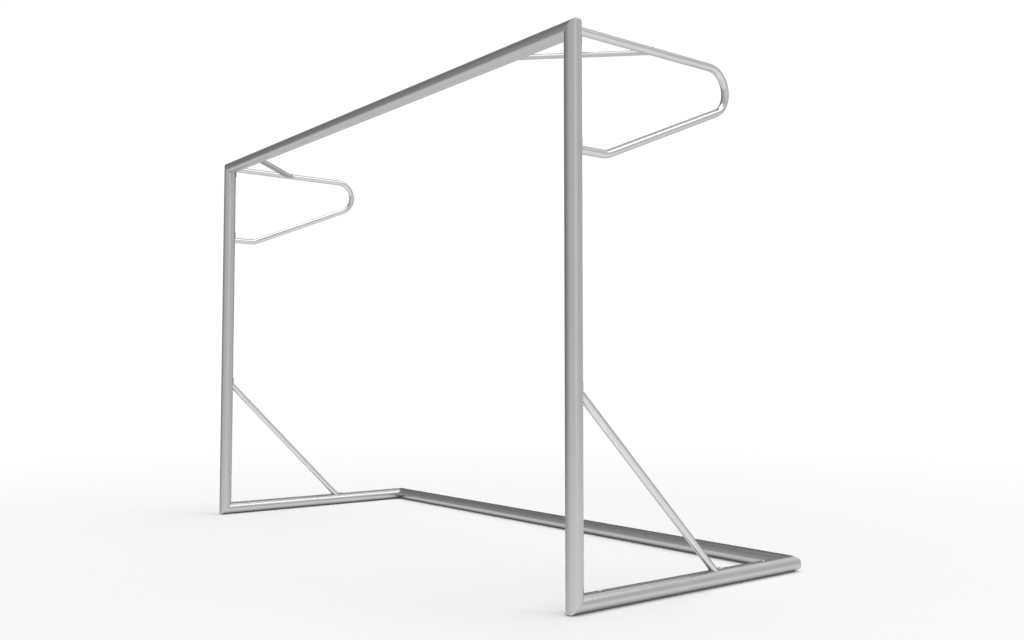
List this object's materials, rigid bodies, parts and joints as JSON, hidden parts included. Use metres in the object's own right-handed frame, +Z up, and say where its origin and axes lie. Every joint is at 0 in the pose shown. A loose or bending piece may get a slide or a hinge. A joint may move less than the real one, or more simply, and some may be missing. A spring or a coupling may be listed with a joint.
{
  "type": "soccer goal",
  "caption": "Free-standing training goal of mitred round aluminium bars with a slotted net rail, bent net brackets and bolted braces, without its net.",
  "frame": {"origin": "on the ground under the middle of the goal's box", "axes": "+X along the crossbar to the right as a player faces the mouth, +Y from the mouth to the back, +Z up"},
  "size_m": [3.1272, 1.2601, 2.0636],
  "materials": {
    "bars": "satin mill aluminium extrusion with fine lines along its length",
    "tubes": "satin drawn aluminium tube",
    "lugs": "satin cut plate",
    "inner_fittings": "dull sawn aluminium",
    "fasteners": "bright stainless steel",
    "rail_nuts": "plain stainless steel"
  },
  "bodies": {
    "root": {"crossbar": "bars", "left_brace_tongue": "inner_fittings", "left_bracket_stub_bolt": "fasteners", "left_bracket_stub_lug": "lugs", "left_bracket_stub_nut": "rail_nuts", "left_bracket_top_bolt": "fasteners", "left_bracket_top_lug": "lugs", "left_bracket_top_nut": "rail_nuts", "left_front_connector": "inner_fittings", "left_front_screw": "fasteners", "left_lower_brace": "tubes", "left_lower_brace_foot_bolt": "fasteners", "left_lower_brace_foot_lug": "lugs", "left_lower_brace_foot_nut": "rail_nuts", "left_lower_brace_top_bolt": "fasteners", "left_lower_brace_top_lug": "lugs", "left_lower_brace_top_nut": "rail_nuts", "left_net_bracket": "tubes", "left_post": "bars", "left_rear_connector": "inner_fittings", "left_rear_screw": "fasteners", "left_side_bar": "bars", "left_top_brace": "tubes", "left_top_brace_bolt": "fasteners", "left_top_brace_lug": "lugs", "left_top_brace_nut": "rail_nuts", "left_top_brace_screw": "fasteners", "left_top_connector": "inner_fittings", "left_top_screw": "fasteners", "rear_bar": "bars", "right_brace_tongue": "inner_fittings", "right_bracket_stub_bolt": "fasteners", "right_bracket_stub_lug": "lugs", "right_bracket_stub_nut": "rail_nuts", "right_bracket_top_bolt": "fasteners", "right_bracket_top_lug": "lugs", "right_bracket_top_nut": "rail_nuts", "right_front_connector": "inner_fittings", "right_front_screw": "fasteners", "right_lower_brace": "tubes", "right_lower_brace_foot_bolt": "fasteners", "right_lower_brace_foot_lug": "lugs", "right_lower_brace_foot_nut": "rail_nuts", "right_lower_brace_top_bolt": "fasteners", "right_lower_brace_top_lug": "lugs", "right_lower_brace_top_nut": "rail_nuts", "right_net_bracket": "tubes", "right_post": "bars", "right_rear_connector": "inner_fittings", "right_rear_screw": "fasteners", "right_side_bar": "bars", "right_top_brace": "tubes", "right_top_brace_bolt": "fasteners", "right_top_brace_lug": "lugs", "right_top_brace_nut": "rail_nuts", "right_top_brace_screw": "fasteners", "right_top_connector": "inner_fittings", "right_top_screw": "fasteners"}
  },
  "joints": []
}
